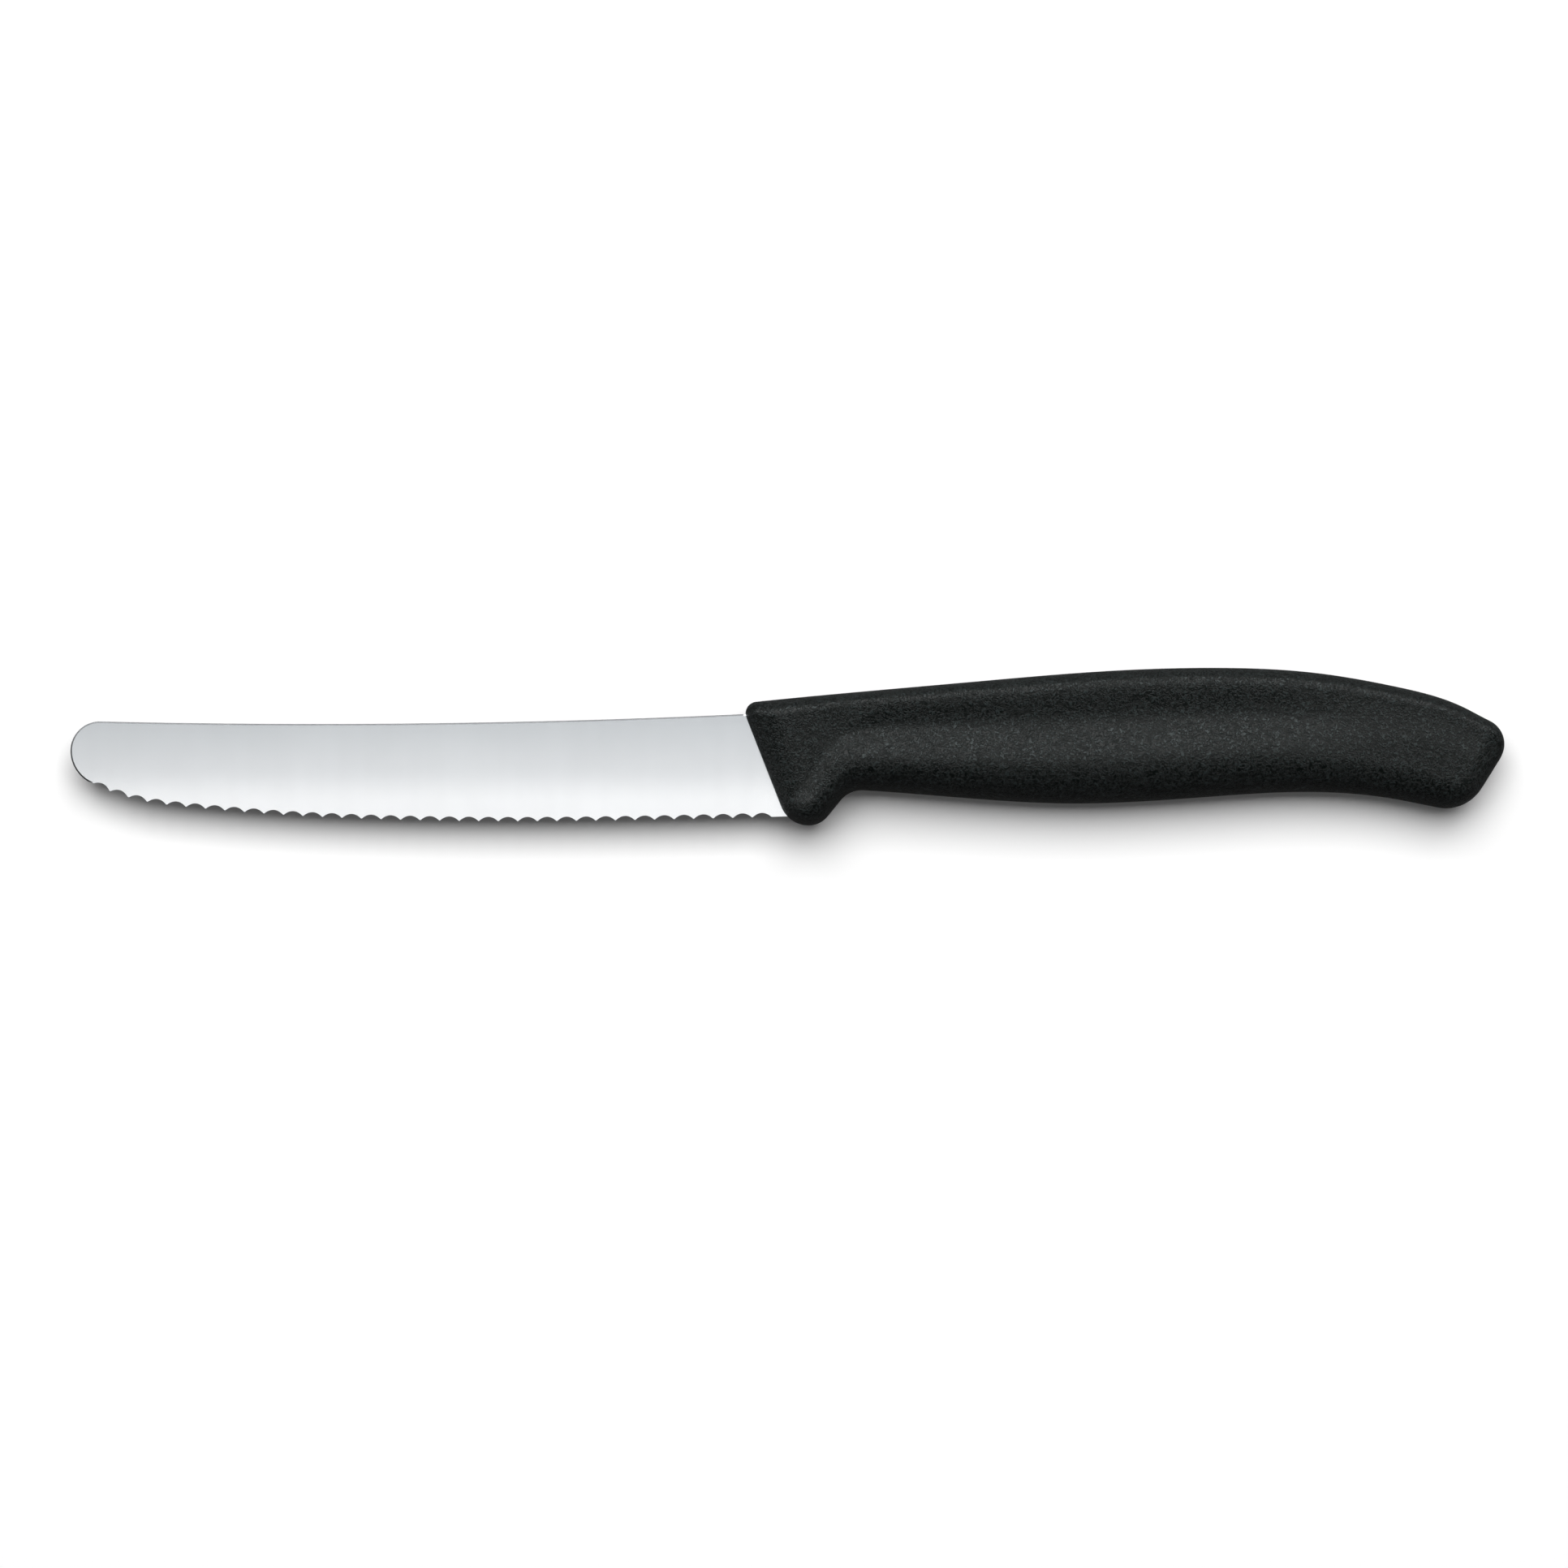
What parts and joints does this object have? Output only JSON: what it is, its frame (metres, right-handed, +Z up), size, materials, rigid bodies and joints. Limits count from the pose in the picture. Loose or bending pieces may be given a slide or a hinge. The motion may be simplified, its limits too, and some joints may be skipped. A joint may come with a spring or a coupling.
{
  "type": "tomato knife",
  "caption": "Small serrated kitchen knife with a round tip, its wavy-edged steel blade held by a tang inside a contoured black plastic handle.",
  "frame": {"origin": "on the surface that the knife lies on, below the middle of its bounding box", "axes": "+X from the blade's tip to the butt of the handle, +Y from the edge to the spine, +Z up from the side that the knife lies on, square to the blade's flat"},
  "size_m": [0.22, 0.0242, 0.0142],
  "materials": {
    "blade_steel": "fine ground across the blade",
    "handle_plastic": "fine spark-eroded grain"
  },
  "bodies": {
    "root": {"blade": "blade_steel", "handle": "handle_plastic"}
  },
  "joints": []
}
